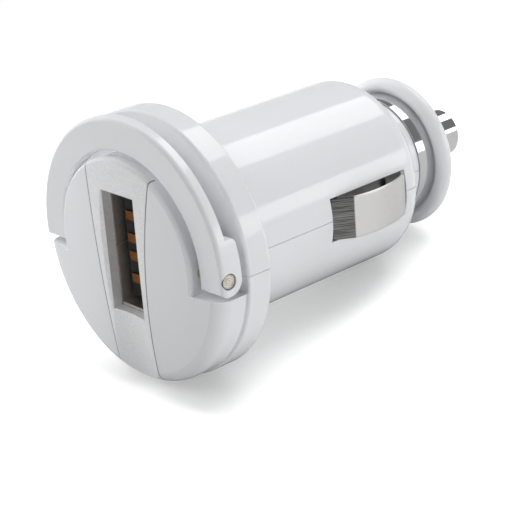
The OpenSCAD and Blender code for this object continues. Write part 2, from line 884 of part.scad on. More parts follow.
module output_capacitor() {
  color([0.15, 0.15, 0.2]) capacitor(can_y, -can_r - part_gap / 2);
}

// Choke: a ferrite bobbin with its winding
module choke_core() {
  color([0.2, 0.2, 0.2]) translate([board_x - 0.02, choke_y, port_z]) rotate([0, -90, 0]) rotate_extrude($fn = 64) {
    area([0, 0], [choke_r, choke_flange]);
    area([0, 0], [choke_r * 0.45, choke_h]);
    area([0, choke_h - choke_flange], [choke_r, choke_h]);
  }
}

module choke_winding() {
  turn_r = (choke_h - 2 * choke_flange) / 8;
  wound_r = choke_r - 2.2 * turn_r;
  color(copper) translate([board_x - 0.02, choke_y, port_z]) rotate([0, -90, 0]) rotate_extrude($fn = 64) {
    area([choke_r * 0.45 + 0.03, choke_flange + 0.03], [wound_r, choke_h - choke_flange - 0.03]);
    for (i = [1:3]) translate([wound_r, choke_flange + 2 * turn_r * i]) circle(turn_r * 0.9, $fn = 24);
  }
}

// Converter chip with four legs a side
module converter_chip() {
  body = [1.4, 3.9, 4.9];
  leg = [0.8, 0.55, 0.42];
  leg_pitch = 1.27;
  color(black) translate([board_back_x + 0.1 + body[0] / 2, chip_y, 0]) cube(body, center = true);
  color(steel) for (side = [-1, 1], i = [-1.5:1:1.5]) {
    translate([board_back_x + 0.02 + leg[0] / 2, chip_y + side * (body[1] + leg[1]) / 2, leg_pitch * i])
      cube([leg[0], leg[1] + 0.04, leg[2]], center = true);
  }
}

// Diode over its metal strip, whose two ends are the tabs
module diode() {
  body = [1.95, 2.6, 3.6];
  strip = [0.28, 1.4, 4.4];
  color(black) translate([board_back_x + 0.15 + body[0] / 2, diode_y, diode_z]) cube(body, center = true);
  color(steel) translate([board_back_x + 0.02 + strip[0] / 2, diode_y, diode_z]) cube(strip, center = true);
}

// Four small resistors in a row
module chip_resistors() {
  body = [0.5, 0.85, 1.6];
  color(black) for (i = [0:3]) {
    translate([board_back_x + 0.02 + body[0] / 2, resistor_y + 2 * body[1] * i, resistor_z])
      cube(body, center = true);
  }
}

upper_shell();
lower_shell();
front_cap();
face_plate();
pull_handle();
left_hinge_pin();
right_hinge_pin();
usb_shell();
usb_tongue();
usb_contact(contact_places[0]);  // usb_contact_1
usb_contact(contact_places[1]);  // usb_contact_2
usb_contact(contact_places[2]);  // usb_contact_3
usb_contact(contact_places[3]);  // usb_contact_4
left_ground_spring();
right_ground_spring();
left_spring_leg();
right_spring_leg();
end_band();
end_ring();
tip_contact();
tip_spring();
tip_terminal();
tip_lead();
circuit_board();
input_capacitor();
output_capacitor();
choke_core();
choke_winding();
converter_chip();
diode();
chip_resistors();
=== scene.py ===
# %% [markdown]
# # A car USB charger plug
# This lesson dresses a imported CAD model as a product photograph shows it: a glossy white plug for a
# car's lighter socket, with a silver face plate, a swing-out pull handle and bright metal contacts.
# Everything is in metres, in the CAD model's own frame: the port faces -Y, the sprung tip points to
# +Y and +Z is up. The first step loads that frame.

# %% Load the frame
import json
import math

import bmesh
import bpy
from mathutils import Matrix, Vector


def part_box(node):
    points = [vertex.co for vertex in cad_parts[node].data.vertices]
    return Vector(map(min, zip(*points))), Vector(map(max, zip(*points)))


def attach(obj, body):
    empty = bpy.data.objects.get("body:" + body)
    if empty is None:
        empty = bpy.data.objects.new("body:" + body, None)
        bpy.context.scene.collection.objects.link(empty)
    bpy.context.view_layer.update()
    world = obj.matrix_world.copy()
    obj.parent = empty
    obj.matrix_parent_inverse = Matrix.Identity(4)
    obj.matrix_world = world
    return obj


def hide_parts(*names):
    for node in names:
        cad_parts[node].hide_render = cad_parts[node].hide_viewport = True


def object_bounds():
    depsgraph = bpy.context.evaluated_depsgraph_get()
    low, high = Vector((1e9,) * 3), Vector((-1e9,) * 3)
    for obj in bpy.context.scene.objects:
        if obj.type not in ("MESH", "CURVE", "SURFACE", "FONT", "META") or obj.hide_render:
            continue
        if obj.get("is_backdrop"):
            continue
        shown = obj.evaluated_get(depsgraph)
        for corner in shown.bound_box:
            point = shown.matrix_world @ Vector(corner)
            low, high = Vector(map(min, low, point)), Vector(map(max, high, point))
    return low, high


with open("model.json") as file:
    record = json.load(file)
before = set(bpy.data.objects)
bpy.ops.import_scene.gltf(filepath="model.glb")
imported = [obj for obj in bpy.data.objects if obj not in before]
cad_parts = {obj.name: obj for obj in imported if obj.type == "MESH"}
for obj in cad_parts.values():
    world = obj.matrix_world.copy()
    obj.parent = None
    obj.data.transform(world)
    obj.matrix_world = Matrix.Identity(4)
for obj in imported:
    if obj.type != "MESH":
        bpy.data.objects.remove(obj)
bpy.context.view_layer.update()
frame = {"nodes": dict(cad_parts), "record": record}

scene = bpy.context.scene
nodes = frame["nodes"]

MM = 0.001
MICRON = 0.001 * MM

# %% [markdown]
# ## Shader maths
# A finish is easier to read as a sum than as a drawing of boxes. `Sock` wraps one output of a node,
# and the usual signs add the Math nodes. `Graph` adds any other node to a tree, and `Finish` is a
# graph that opens a material and keeps it under the name of its slot.

# %% Shader helpers
class Sock:
    """One output of a node, which can be added, multiplied and so on."""

    def __init__(self, graph, socket):
        self.graph = graph
        self.socket = socket

    def _math(self, operation, *values):
        return self.graph.add("ShaderNodeMath", {"operation": operation}, *values)

    def __add__(self, other):
        return self._math("ADD", self, other)

    __radd__ = __add__

    def __sub__(self, other):
        return self._math("SUBTRACT", self, other)

    def __rsub__(self, other):
        return self._math("SUBTRACT", other, self)

    def __mul__(self, other):
        return self._math("MULTIPLY", self, other)

    __rmul__ = __mul__

    def __truediv__(self, other):
        return self._math("DIVIDE", self, other)

    def power(self, exponent):
        return self._math("POWER", self, exponent)

    def size(self):
        return self._math("ABSOLUTE", self)

    def root(self):
        return self._math("SQRT", self)

    def sine(self):
        return self._math("SINE", self)

    def cosine(self):
        return self._math("COSINE", self)

    def ramp(self, low, high):
        """0 at low and 1 at high, eased at both ends."""
        return self.graph.add(
            "ShaderNodeMapRange",
            {"interpolation_type": "SMOOTHSTEP"},
            {"Value": self, "From Min": low, "From Max": high},
        )

    def share(self, low, high):
        """0 at low and 1 at high, straight between them and held outside."""
        return self.graph.add("ShaderNodeMapRange", {}, {"Value": self, "From Min": low, "From Max": high})


class Graph:
    """A node tree, of a finish, of a light or of a shape."""

    def __init__(self, tree):
        self.tree = tree

    def add(self, kind, settings, *values, output=0):
        """Adds a node: its settings first, then the values or links of its inputs."""
        node = self.tree.nodes.new(kind)
        for key, value in settings.items():
            setattr(node, key, value)
        named = values[0].items() if values and isinstance(values[0], dict) else enumerate(values)
        for key, value in named:
            if isinstance(value, Sock):
                self.tree.links.new(value.socket, node.inputs[key])
            else:
                node.inputs[key].default_value = value
        return Sock(self, node.outputs[output])

    def end(self, kind, result):
        """Adds the tree's last node, which only takes the result."""
        last = self.tree.nodes.new(kind)
        self.tree.links.new(result.socket, last.inputs[0])


finishes = {}


class Finish(Graph):
    """A material whose surface is one Principled shader."""

    def __init__(self, name, color, roughness, metallic=0.0, ior=1.5):
        material = bpy.data.materials.new(name)
        material.use_nodes = True
        finishes[name] = material
        super().__init__(material.node_tree)
        self.shader = self.tree.nodes["Principled BSDF"]
        self.set("Base Color", (*color, 1))
        self.set("Roughness", roughness)
        self.set("Metallic", metallic)
        self.set("IOR", ior)
        self.place = self.add("ShaderNodeTexCoord", {}, output="Object")

    def set(self, name, value):
        """Sets one of the shader's inputs to a value or to a socket."""
        socket = self.shader.inputs[name]
        if isinstance(value, Sock):
            self.tree.links.new(value.socket, socket)
        else:
            socket.default_value = value

    def along(self, axis):
        """The place along one axis, X, Y or Z."""
        return self.add("ShaderNodeSeparateXYZ", {}, self.place, output=axis)

    def stretch(self, scale):
        """The place on the object, stretched by a scale for each axis."""
        return self.add("ShaderNodeVectorMath", {"operation": "MULTIPLY"}, self.place, scale)

    def noise(self, scale, detail=2.0, rough=0.5, where=None):
        """Smooth noise from 0 to 1; scale is in waves per metre."""
        return self.add(
            "ShaderNodeTexNoise",
            {},
            {"Vector": where or self.place, "Scale": scale, "Detail": detail, "Roughness": rough},
        )

    def blend(self, amount, first, second):
        """Colour between two colours. A Mix node for colours has its own sockets, 0, 6, 7 and 2."""
        first, second = (c if isinstance(c, Sock) else (*c, 1) for c in (first, second))
        return self.add("ShaderNodeMix", {"data_type": "RGBA"}, {0: amount, 6: first, 7: second}, output=2)

    def bump(self, height, depth, strength):
        """Feeds a height to the shader's normal; depth is in metres."""
        inputs = {"Height": height, "Distance": depth, "Strength": strength}
        self.set("Normal", self.add("ShaderNodeBump", {}, inputs, output="Normal"))


def tone(color, amount):
    """A colour made lighter or darker by a factor."""
    return tuple(min(1.0, c * amount) for c in color)


print("shader helpers ready")

# %% [markdown]
# ## Moulded white plastic
# The housing, cap and handle are polished injection mouldings. A mould's polish leaves almost no
# texture, so the finish is a bright base with very soft changes of tone, a low roughness that
# wanders a little, and a faint long-wave swell that keeps reflections from looking drawn.

# %% White mouldings
def moulded_white(name, color, roughness):
    finish = Finish(name, color, roughness, ior=1.52)
    cloud = finish.noise(90)
    speck = finish.noise(5200)
    swell = finish.noise(260, detail=1)
    finish.set("Base Color", finish.blend(cloud, tone(color, 0.985), tone(color, 1.01)))
    finish.set("Roughness", roughness + 0.03 * cloud + 0.02 * speck)
    finish.bump(swell + 0.05 * speck, depth=6 * MICRON, strength=0.6)


moulded_white("housing_white", (0.86, 0.872, 0.893), 0.07)
moulded_white("cap_white", (0.85, 0.86, 0.882), 0.09)
moulded_white("handle_white", (0.86, 0.87, 0.89), 0.08)
moulded_white("ring_white", (0.86, 0.87, 0.885), 0.2)
print("white mouldings:", len(finishes), "finishes")

# %% [markdown]
# ## Satin silver lacquer
# The face plate is sprayed with a lacquer full of fine metal flakes. Each flake is about a tenth of a
# millimetre wide and lies at its own small angle, so a fine cell pattern changes the tone and the
# height from flake to flake. Along its two long curved sides the plate drops into its seat; the shade
# of that groove is painted into the lacquer's colour as a dark line a tenth of a millimetre wide.

# %% Silver plate
PLATE_WAIST = 3.3 * MM
PLATE_WAIST_Z = -13 * MM
PLATE_SIDE_R = 134 * MM
SEAT_SHADE_LINE = (0.03 * MM, 0.16 * MM)
PAINTED_SEAT_SHADE = (0.22, 0.22, 0.235)
FLAKES_PER_METRE = 9000.0
DARK_FLAKE = (0.78, 0.785, 0.80)
BRIGHT_FLAKE = (0.985, 0.988, 0.99)


def silver_lacquer():
    """Flakes in two tones, and a line of painted shade where the plate's curved sides meet its seat."""
    finish = Finish("plate_silver", (0.92, 0.925, 0.935), 0.36, metallic=0.3)
    cells = {"Vector": finish.place, "Scale": FLAKES_PER_METRE}
    flake = finish.add("ShaderNodeTexVoronoi", {}, cells, output="Color")
    grain = finish.noise(14000, 3, 0.6)
    mix = 0.5 * finish.add("ShaderNodeSeparateColor", {}, flake) + 0.5 * grain
    # Painted shade: a thin dark line along the plate's curved sides, where its groove is.
    rise = finish.along("Z") - PLATE_WAIST_Z
    side = PLATE_WAIST + PLATE_SIDE_R - (PLATE_SIDE_R**2 - rise.power(2.0)).root()
    inside = (side - finish.along("X").size()).ramp(*SEAT_SHADE_LINE)
    finish.set("Base Color", finish.blend(inside, PAINTED_SEAT_SHADE, finish.blend(mix, DARK_FLAKE, BRIGHT_FLAKE)))
    finish.set("Roughness", 0.3 + 0.14 * grain)
    finish.bump(mix, depth=12 * MICRON, strength=0.5)


silver_lacquer()
print("silver plate ready")

# %% [markdown]
# ## Metals
# Chrome mirrors the studio, so it needs little more than a low roughness and the faint turning lines
# of the part under the plating. The side strips are rolled spring steel: their scratches run along
# the strip, so the noise is stretched along Y. The socket's rim rubs fine lines into the ramp of each
# strip. The ramp's dark tone under those lines is a painted reflection, and the bright start of the
# arc behind it is a painted highlight.

# %% Metals
# The ramp's start along Y and its length are in millimetres, as the strip's other sizes are.
RAMP_START = 12.95
RAMP_LENGTH = 2.0
RAMP_END = (RAMP_START + RAMP_LENGTH) * MM
RAMP_FADE = 0.12 * MM
HIGHLIGHT_RUN = 7 * MM
RUBBED_LINES = (200, 200, 15000)


def ramp_lines_and_painted_light(finish, color, base):
    """The tones along a contact strip: rubbed lines on a painted dark reflection on its ramp, and a painted
    highlight at the start of its arc.
    """
    y = finish.along("Y")
    # Painted highlight: the steel is made lighter just behind the ramp, fading along the arc.
    arc = finish.blend(y.ramp(RAMP_END, RAMP_END + HIGHLIGHT_RUN), tone(color, 1.18), base)
    lines = finish.noise(1.0, 2, 0.6, finish.stretch(RUBBED_LINES))
    # Painted reflection: the ramp is made far darker than the steel, with rubbed lines in it.
    dark = finish.blend(lines.ramp(0.35, 0.65), tone(color, 0.12), tone(color, 0.45))
    return finish.blend(y.ramp(RAMP_END - RAMP_FADE, RAMP_END), dark, arc)


def brushed(name, color, roughness, stretch, depth, contrast=0.1, wear_and_painted_light=None):
    """Metal with drawn or turned lines; stretch is the number of waves per metre for each axis."""
    finish = Finish(name, color, roughness, metallic=1.0)
    lines = finish.noise(1.0, 3, 0.65, finish.stretch(stretch))
    cloud = finish.noise(700)
    base = finish.blend(lines, tone(color, 1 - contrast), tone(color, 1 + contrast))
    finish.set("Base Color", wear_and_painted_light(finish, color, base) if wear_and_painted_light else base)
    finish.set("Roughness", roughness * 0.8 + roughness * 0.3 * lines + roughness * 0.2 * cloud)
    finish.bump(lines, depth, strength=0.5)


brushed("chrome", (0.63, 0.63, 0.64), 0.07, (900, 42000, 900), 0.04 * MICRON, 0.03)
brushed(
    "spring_steel", (0.70, 0.695, 0.685), 0.3, (9000, 700, 16000), 0.6 * MICRON, 0.14, wear_and_painted_light=ramp_lines_and_painted_light)
brushed("coil_steel", (0.6, 0.6, 0.6), 0.25, (9000, 3000, 9000), 2 * MICRON)
brushed("port_metal", (0.84, 0.80, 0.75), 0.42, (9000, 900, 9000), 2 * MICRON)
brushed("brass", (0.8, 0.62, 0.33), 0.25, (900, 30000, 900), 2 * MICRON)
brushed("copper", (0.26, 0.11, 0.035), 0.35, (20000, 2500, 20000), 3 * MICRON, 0.2)
brushed("winding_copper", (0.55, 0.22, 0.08), 0.22, (40000, 4000, 4000), 2 * MICRON)
print("finishes so far:", len(finishes))

# %% [markdown]
# ## Turned pin
# The handle's pin was cut off and faced on a lathe, so its end shows fine rings round its own axis.
# Round its edge, where it drops into the hole, a dark ring of painted shade is laid into its colour.
# The axis comes from the handle's joint and the painted shade's ring from the pin's own size.

# %% Pin metal
RING_PITCH = 0.22 * MM
PAINTED_SHADE_RING = (0.86, 0.97)


def turned_pin(name, color, roughness):
    finish = Finish(name, color, roughness, metallic=1.0)
    hinge = frame["record"]["behaviour"]["joints"][0]["pos_m"]
    low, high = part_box("right_hinge_pin")
    head_r = (high[2] - low[2]) / 2
    y = finish.along("Y") - hinge[1]
    z = finish.along("Z") - hinge[2]
    reach = (y.power(2.0) + z.power(2.0)).root()
    ring = (reach * (2 * math.pi / RING_PITCH)).sine() * 0.5 + 0.5
    base = finish.blend(ring, tone(color, 0.8), tone(color, 1.12))
    # Painted shade: a dark ring round the pin's edge, where it drops into its hole.
    rim_shade = reach.ramp(*(head_r * share for share in PAINTED_SHADE_RING))
    finish.set("Base Color", finish.blend(rim_shade, base, tone(color, 0.2)))
    finish.set("Roughness", roughness + 0.08 * ring)
    finish.bump(ring, depth=8 * MICRON, strength=0.6)


turned_pin("pin_metal", (0.84, 0.78, 0.71), 0.25)
print("finishes so far:", len(finishes))

# %% [markdown]
# ## What hides inside
# The converter's parts show only through the slots and when the model is taken apart, but they get
# their real finishes: solder mask, moulded packages, sintered ferrite and a sleeve round each can.

# %% Inside finishes
def plain_matter(name, color, roughness, grain_scale, depth):
    """A surface with an even grain, a few lighter clouds and a roughness that follows the grain."""
    finish = Finish(name, color, roughness)
    grain = finish.noise(grain_scale, 4, 0.6)
    cloud = finish.noise(grain_scale * 0.06)
    tint = finish.blend(grain, tone(color, 0.88), tone(color, 1.12))
    finish.set("Base Color", finish.blend(0.25 * cloud, tint, tone(color, 1.35)))
    finish.set("Roughness", roughness - 0.06 + 0.12 * grain)
    finish.bump(grain, depth, strength=0.6)


plain_matter("port_black", (0.006, 0.006, 0.007), 0.6, 9000, 4 * MICRON)
plain_matter("board_green", (0.03, 0.16, 0.07), 0.3, 2600, 4 * MICRON)
plain_matter("can_sleeve", (0.03, 0.03, 0.05), 0.25, 2500, 2 * MICRON)
plain_matter("ferrite", (0.09, 0.09, 0.092), 0.55, 8000, 6 * MICRON)
plain_matter("chip_black", (0.03, 0.03, 0.033), 0.5, 9000, 4 * MICRON)
plain_matter("lead_red", (0.42, 0.03, 0.025), 0.4, 5000, 2 * MICRON)
print("finishes in all:", len(finishes))

# %% [markdown]
# ## Give every node its finish
# The model's record names a slot for each CAD node, and each finish has the name of its slot.

# %% Give every node its finish
slot_of = {row["node"]: row["material_slot"] for row in frame["record"]["subparts"]}
for name, node in nodes.items():
    node.data.materials.clear()
    node.data.materials.append(finishes[slot_of[name]])
print("nodes with a finish:", len(nodes))

# %% [markdown]
# ## Bowed contact strips
# Each ground contact is a strip of spring steel, stamped flat and bent over a mandrel: a short lip, a
# steep ramp that the socket's rim meets first, a long arc that touches the wall, a tight bend and a
# root. A press could follow this rule exactly, so the strip is a Geometry Nodes rule too: a flat grid
# is laid along the five stretches, its edges are rolled off, and it gets its thickness along its own
# normals. Its sizes come in by named inputs, in millimetres. Each stretch takes a share of the grid.

# %% Strip rule
STRIP = {
    "Width": 4.7,
    "Thickness": 0.35,
    "Edge roll": 0.16,
    "Lip": 1.3,
    "Ramp start": RAMP_START,
    "Ramp foot": 10.0,
    "Ramp length": RAMP_LENGTH,
    "Arc radius": 11.9,
    "Arc middle": 18.15,
    "Bend start": 22.6,
    "Bend radius": 1.1,
}
STRETCHES = {
    "lip": (0.0, 0.1),
    "ramp": (0.1, 0.2),
    "arc": (0.2, 0.75),
    "bend": (0.75, 0.9),
    "root": (0.9, 1.0),
}
POINTS_ALONG = 201
POINTS_ACROSS = 25
# The rolled edge stops a little before a full quarter circle.
ROLL_SHARE = 0.96


def new_rule(name, inputs):
    """An empty Geometry Nodes tree with named inputs, and those inputs as values to reckon with."""
    tree = bpy.data.node_groups.new(name, "GeometryNodeTree")
    tree.interface.new_socket("Geometry", in_out="OUTPUT", socket_type="NodeSocketGeometry")
    for key, kind in inputs.items():
        tree.interface.new_socket(key, in_out="INPUT", socket_type=kind)
    graph = Graph(tree)
    source = tree.nodes.new("NodeGroupInput")
    return graph, {key: Sock(graph, source.outputs[key]) for key in inputs}


def end_rule(graph, shape, finish):
    """Ends a rule with real geometry in its finish."""
    real = graph.add("GeometryNodeRealizeInstances", {}, {"Geometry": shape})
    dressed = graph.add("GeometryNodeSetMaterial", {}, {"Geometry": real, "Material": finish})
    graph.end("NodeGroupOutput", dressed)


def run_rule(graph, name, values):
    """Runs a rule once on a carrier and returns its mesh."""
    carrier = bpy.data.objects.new(name, bpy.data.meshes.new(name + "_carrier"))
    scene.collection.objects.link(carrier)
    modifier = carrier.modifiers.new(name, "NODES")
    modifier.node_group = graph.tree
    for item in graph.tree.interface.items_tree:
        if item.item_type == "SOCKET" and item.in_out == "INPUT":
            modifier[item.identifier] = values[item.name]
    now = bpy.context.evaluated_depsgraph_get()
    mesh = bpy.data.meshes.new_from_object(carrier.evaluated_get(now), depsgraph=now)
    carrier.modifiers.remove(modifier)
    bpy.data.objects.remove(carrier)
    return mesh


def strip_rule():
    """The strip on the right side. Its grid runs from -0.5 to 0.5 along it and from -1 to 1 across."""
    kinds = {key: "NodeSocketFloat" for key in (*STRIP, "Root end")}
    graph, given = new_rule("bowed_strip", kinds | {"Finish": "NodeSocketMaterial"})
    grid_size = {"Size X": 1.0, "Size Y": 2.0, "Vertices X": POINTS_ALONG, "Vertices Y": POINTS_ACROSS}
    grid = graph.add("GeometryNodeMeshGrid", {}, grid_size, output="Mesh")
    flat = graph.add("GeometryNodeInputPosition", {})
    along = graph.add("ShaderNodeSeparateXYZ", {}, flat, output="X") + 0.5
    even = graph.add("ShaderNodeSeparateXYZ", {}, flat, output="Y")
    # The points crowd towards the two rolled edges.
    across = even * (2.0 - even.size())
    part = {key: along.share(*ends) for key, ends in STRETCHES.items()}
    arc_start = given["Ramp start"] + given["Ramp length"]
    arc_y = arc_start + (given["Bend start"] - arc_start) * part["arc"]

    def arc_x(y):
        return (given["Arc radius"].power(2.0) - (y - given["Arc middle"]).power(2.0)).root()

    ridge = arc_x(arc_start)
    angle = part["bend"] * (math.pi / 2)
    root_run = arc_x(given["Bend start"]) - given["Bend radius"] - given["Root end"]
    roll_part = given["Edge roll"] / (given["Width"] * 0.5)
    near_edge = ((across.size() - 1.0) / roll_part + 1.0).share(0.0, 1.0) * ROLL_SHARE
    roll = given["Edge roll"] * (1.0 - (1.0 - near_edge.power(2.0)).root())
    x = (
        given["Ramp foot"] - given["Lip"] + given["Lip"] * part["lip"]
        + (ridge - given["Ramp foot"]) * part["ramp"]
        + (arc_x(arc_y) - ridge)
        + given["Bend radius"] * (angle.cosine() - 1.0)
        - root_run * part["root"]
        - roll * (1.0 - part["bend"])
    )
    y = arc_y + given["Ramp length"] * (part["ramp"] - 1.0) + given["Bend radius"] * angle.sine()
    z = across * given["Width"] * 0.5
    place = graph.add("ShaderNodeCombineXYZ", {}, x * MM, y * MM, z * MM)
    outer = graph.add("GeometryNodeSetPosition", {}, {"Geometry": grid, "Position": place})
    push = {"Mesh": outer, "Offset Scale": given["Thickness"] * -MM, "Individual": False}
    inner = graph.add("GeometryNodeFlipFaces", {}, {"Mesh": graph.add("GeometryNodeExtrudeMesh", {}, push)})
    joined = graph.tree.nodes.new("GeometryNodeJoinGeometry")
    for side in (outer, inner):
        graph.tree.links.new(side.socket, joined.inputs[0])
    both = {"Geometry": Sock(graph, joined.outputs[0]), "Distance": MICRON}
    end_rule(graph, graph.add("GeometryNodeMergeByDistance", {}, both), given["Finish"])
    return graph


bowed_strip = strip_rule()
print("strip rule:", len(bowed_strip.tree.nodes), "nodes")

# %% [markdown]
# ## The strips take their places
# Each strip rides the body that the socket presses in, and replaces the square-edged solid that the
# CAD model has there. The left one is the mirror image of the right one, and its faces are turned
# round again after the mirror has turned them.

# %% Place the strips
CREASE = math.radians(30)


def add_piece(name, mesh, body, node=None):
    """Puts a finished mesh in the scene: it rides a body, and may stand for one CAD node, which it hides.
    """
    mesh.shade_smooth()
    mesh.set_sharp_from_angle(angle=CREASE)
    piece = bpy.data.objects.new(name, mesh)
    scene.collection.objects.link(piece)
    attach(piece, body)
    if node:
        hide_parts(node)


def box_in_mm(mesh):
    """The lowest and the highest corner of a mesh."""
    axes = list(zip(*(v.co for v in mesh.vertices)))
    return [[round(pick(axis) / MM, 2) for axis in axes] for pick in (min, max)]


for side in ("right", "left"):
    node = nodes[side + "_ground_spring"]
    root_end = min(abs(v.co.x) for v in node.data.vertices) / MM
    sizes = STRIP | {"Root end": root_end, "Finish": finishes["spring_steel"]}
    mesh = run_rule(bowed_strip, side + "_strip", sizes)
    if side == "left":
        mesh.transform(Matrix.Scale(-1, 4, (1, 0, 0)))
        mesh.flip_normals()
    print(side, "strip:", len(mesh.polygons), "faces,", box_in_mm(mesh), "solid:", box_in_mm(node.data))
    add_piece(side + "_contact_strip", mesh, side + "_contact", side + "_ground_spring")

# %% [markdown]
# ## End caps of the chip resistors
# A chip resistor is a ceramic block with tinned ends. The eight ends are one cap repeated on a grid of
# points, which is what Instance on Points is for; only the cap itself, a block with bevelled edges
# round the ceramic's end, is built directly with bmesh.

# %% Repeated end caps
RESISTORS = 4
CAP_LENGTH = 0.36 * MM
CAP_LIP = 0.015 * MM


def cap_mesh(depth, width):
    """One tinned end: a block with rounded edges, a little larger than the ceramic."""
    shape = bmesh.new()
    bmesh.ops.create_cube(shape, size=1.0)
    size = (depth + 2 * CAP_LIP, width + 2 * CAP_LIP, CAP_LENGTH)
    bmesh.ops.scale(shape, vec=size, verts=shape.verts)
    edges = list(shape.edges)
    bmesh.ops.bevel(shape, geom=edges, offset=2 * CAP_LIP, segments=3, affect="EDGES", profile=0.5)
    mesh = bpy.data.meshes.new("resistor_cap")
    shape.to_mesh(mesh)
    shape.free()
    return mesh


def repeat_rule():
    """One object repeated on a grid of Rows by two, in the plane of Y and Z."""
    graph, given = new_rule("repeated_caps", {
        "Cap": "NodeSocketObject",
        "Rows": "NodeSocketInt",
        "Pitch": "NodeSocketFloat",
        "Span": "NodeSocketFloat",
        "Middle": "NodeSocketVector",
        "Finish": "NodeSocketMaterial",
    })
    length = given["Pitch"] * (given["Rows"] - 1.0)
    grid_size = {"Size X": length, "Size Y": given["Span"], "Vertices X": given["Rows"], "Vertices Y": 2}
    grid = graph.add("GeometryNodeMeshGrid", {}, grid_size, output="Mesh")
    flat = graph.add("GeometryNodeInputPosition", {})
    along = graph.add("ShaderNodeSeparateXYZ", {}, flat, output="X")
    across = graph.add("ShaderNodeSeparateXYZ", {}, flat, output="Y")
    upright = graph.add("ShaderNodeCombineXYZ", {}, 0.0, along, across)
    place = graph.add("ShaderNodeVectorMath", {"operation": "ADD"}, upright, given["Middle"])
    points = graph.add("GeometryNodeSetPosition", {}, {"Geometry": grid, "Position": place})
    cap = graph.add("GeometryNodeObjectInfo", {}, {"Object": given["Cap"]}, output="Geometry")
    caps = graph.add("GeometryNodeInstanceOnPoints", {}, {"Points": points, "Instance": cap})
    end_rule(graph, caps, given["Finish"])
    return graph


low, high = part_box("chip_resistors")
body_width = (high[1] - low[1]) / (2 * RESISTORS - 1)
pattern = bpy.data.objects.new("resistor_cap", cap_mesh(high[0] - low[0], body_width))
scene.collection.objects.link(pattern)
mesh = run_rule(repeat_rule(), "resistor_caps", {
    "Cap": pattern,
    "Rows": RESISTORS,
    "Pitch": 2 * body_width,
    "Span": high[2] - low[2] - CAP_LENGTH,
    "Middle": [(a + b) / 2 for a, b in zip(low, high)],
    "Finish": finishes["coil_steel"],
})
bpy.data.objects.remove(pattern)
add_piece("resistor_caps", mesh, "housing")
print("resistor caps:", len(mesh.polygons), "faces")

# %% [markdown]
# ## Floor
# A plug that is put down on a table rests on the edge of its flange and on the end of its barrel, so
# the floor leans by nine degrees to the plug's axis. In the photograph the floor is almost white under
# a soft shadow: to the camera it is a pale surface with a little glow of its own, which fades to pure
# white away from the plug. To every other ray it is a darker grey, so that it doesn't brighten the
# underside too much.

# %% Floor
FLANGE_EDGE = (14.55 * MM, -0.4 * MM)
BARREL_EDGE = (10.3 * MM, 26.4 * MM)
FLOOR_GAP = 0.02 * MM
FLOOR_HALF = 1.2
FLOOR_SEEN = (0.82, 0.82, 0.82, 1)
FLOOR_BOUNCE = (0.45, 0.45, 0.45, 1)
FLOOR_GLOW = 0.23
FLOOR_FADE = (0.06, 0.14)
TILT = math.atan2(FLANGE_EDGE[0] - BARREL_EDGE[0], BARREL_EDGE[1] - FLANGE_EDGE[1])
UP = Vector((0, -math.sin(TILT), math.cos(TILT)))
FLOOR_DROP = FLANGE_EDGE[0] * math.cos(TILT) + FLANGE_EDGE[1] * math.sin(TILT) + FLOOR_GAP


def empty_graph(owner):
    """The emptied node tree of a material or of the world."""
    owner.use_nodes = True
    owner.node_tree.nodes.clear()
    return Graph(owner.node_tree)


def stage_piece(name, corners, material):
    """A flat piece of the studio, which isn't a part of the plug."""
    mesh = bpy.data.meshes.new(name)
    mesh.from_pydata(corners, [], [range(len(corners))])
    mesh.materials.append(material)
    piece = bpy.data.objects.new(name, mesh)
    scene.collection.objects.link(piece)
    piece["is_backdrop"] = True
    return piece


def floor_material():
    material = bpy.data.materials.new("floor_white")
    graph = empty_graph(material)
    shaded = graph.add("ShaderNodeBsdfDiffuse", {}, {"Color": FLOOR_SEEN})
    glow = graph.add("ShaderNodeEmission", {}, {"Strength": FLOOR_GLOW})
    near = graph.add("ShaderNodeAddShader", {}, shaded, glow)
    white = graph.add("ShaderNodeEmission", {}, {"Strength": 1.0})
    place = graph.add("ShaderNodeTexCoord", {}, output="Object")
    away = graph.add("ShaderNodeVectorMath", {"operation": "LENGTH"}, place, output="Value")
    seen = graph.add("ShaderNodeMixShader", {}, away.ramp(*FLOOR_FADE), near, white)
    bounce = graph.add("ShaderNodeBsdfDiffuse", {}, {"Color": FLOOR_BOUNCE})
    camera_ray = graph.add("ShaderNodeLightPath", {}, output="Is Camera Ray")
    either = graph.add("ShaderNodeMixShader", {}, camera_ray, bounce, seen)
    graph.end("ShaderNodeOutputMaterial", either)
    return material


floor_turn = UP.to_track_quat("Z", "Y")
floor_corners = [
    floor_turn @ Vector((x * FLOOR_HALF, y * FLOOR_HALF, -FLOOR_DROP))
    for x, y in ((-1, -1), (1, -1), (1, 1), (-1, 1))
]
floor = stage_piece("floor", floor_corners, floor_material())
print("floor leans", round(math.degrees(TILT), 1), "degrees and lies", round(FLOOR_DROP / MM, 2), "mm down")

# %% [markdown]
# ## World
# The world is pale to the camera. The gloss of the plastic and the metal mirrors it as a room that is
# bright near the horizon and dim above, which leaves the dark gaps between the lamps on the chrome.
# It gives no other light: that comes from the lamps alone.

# %% World
SWEEP = 1.0
ROOM_HORIZON = 0.9
ROOM_ZENITH = 0.3
ROOM_EDGE = 0.3


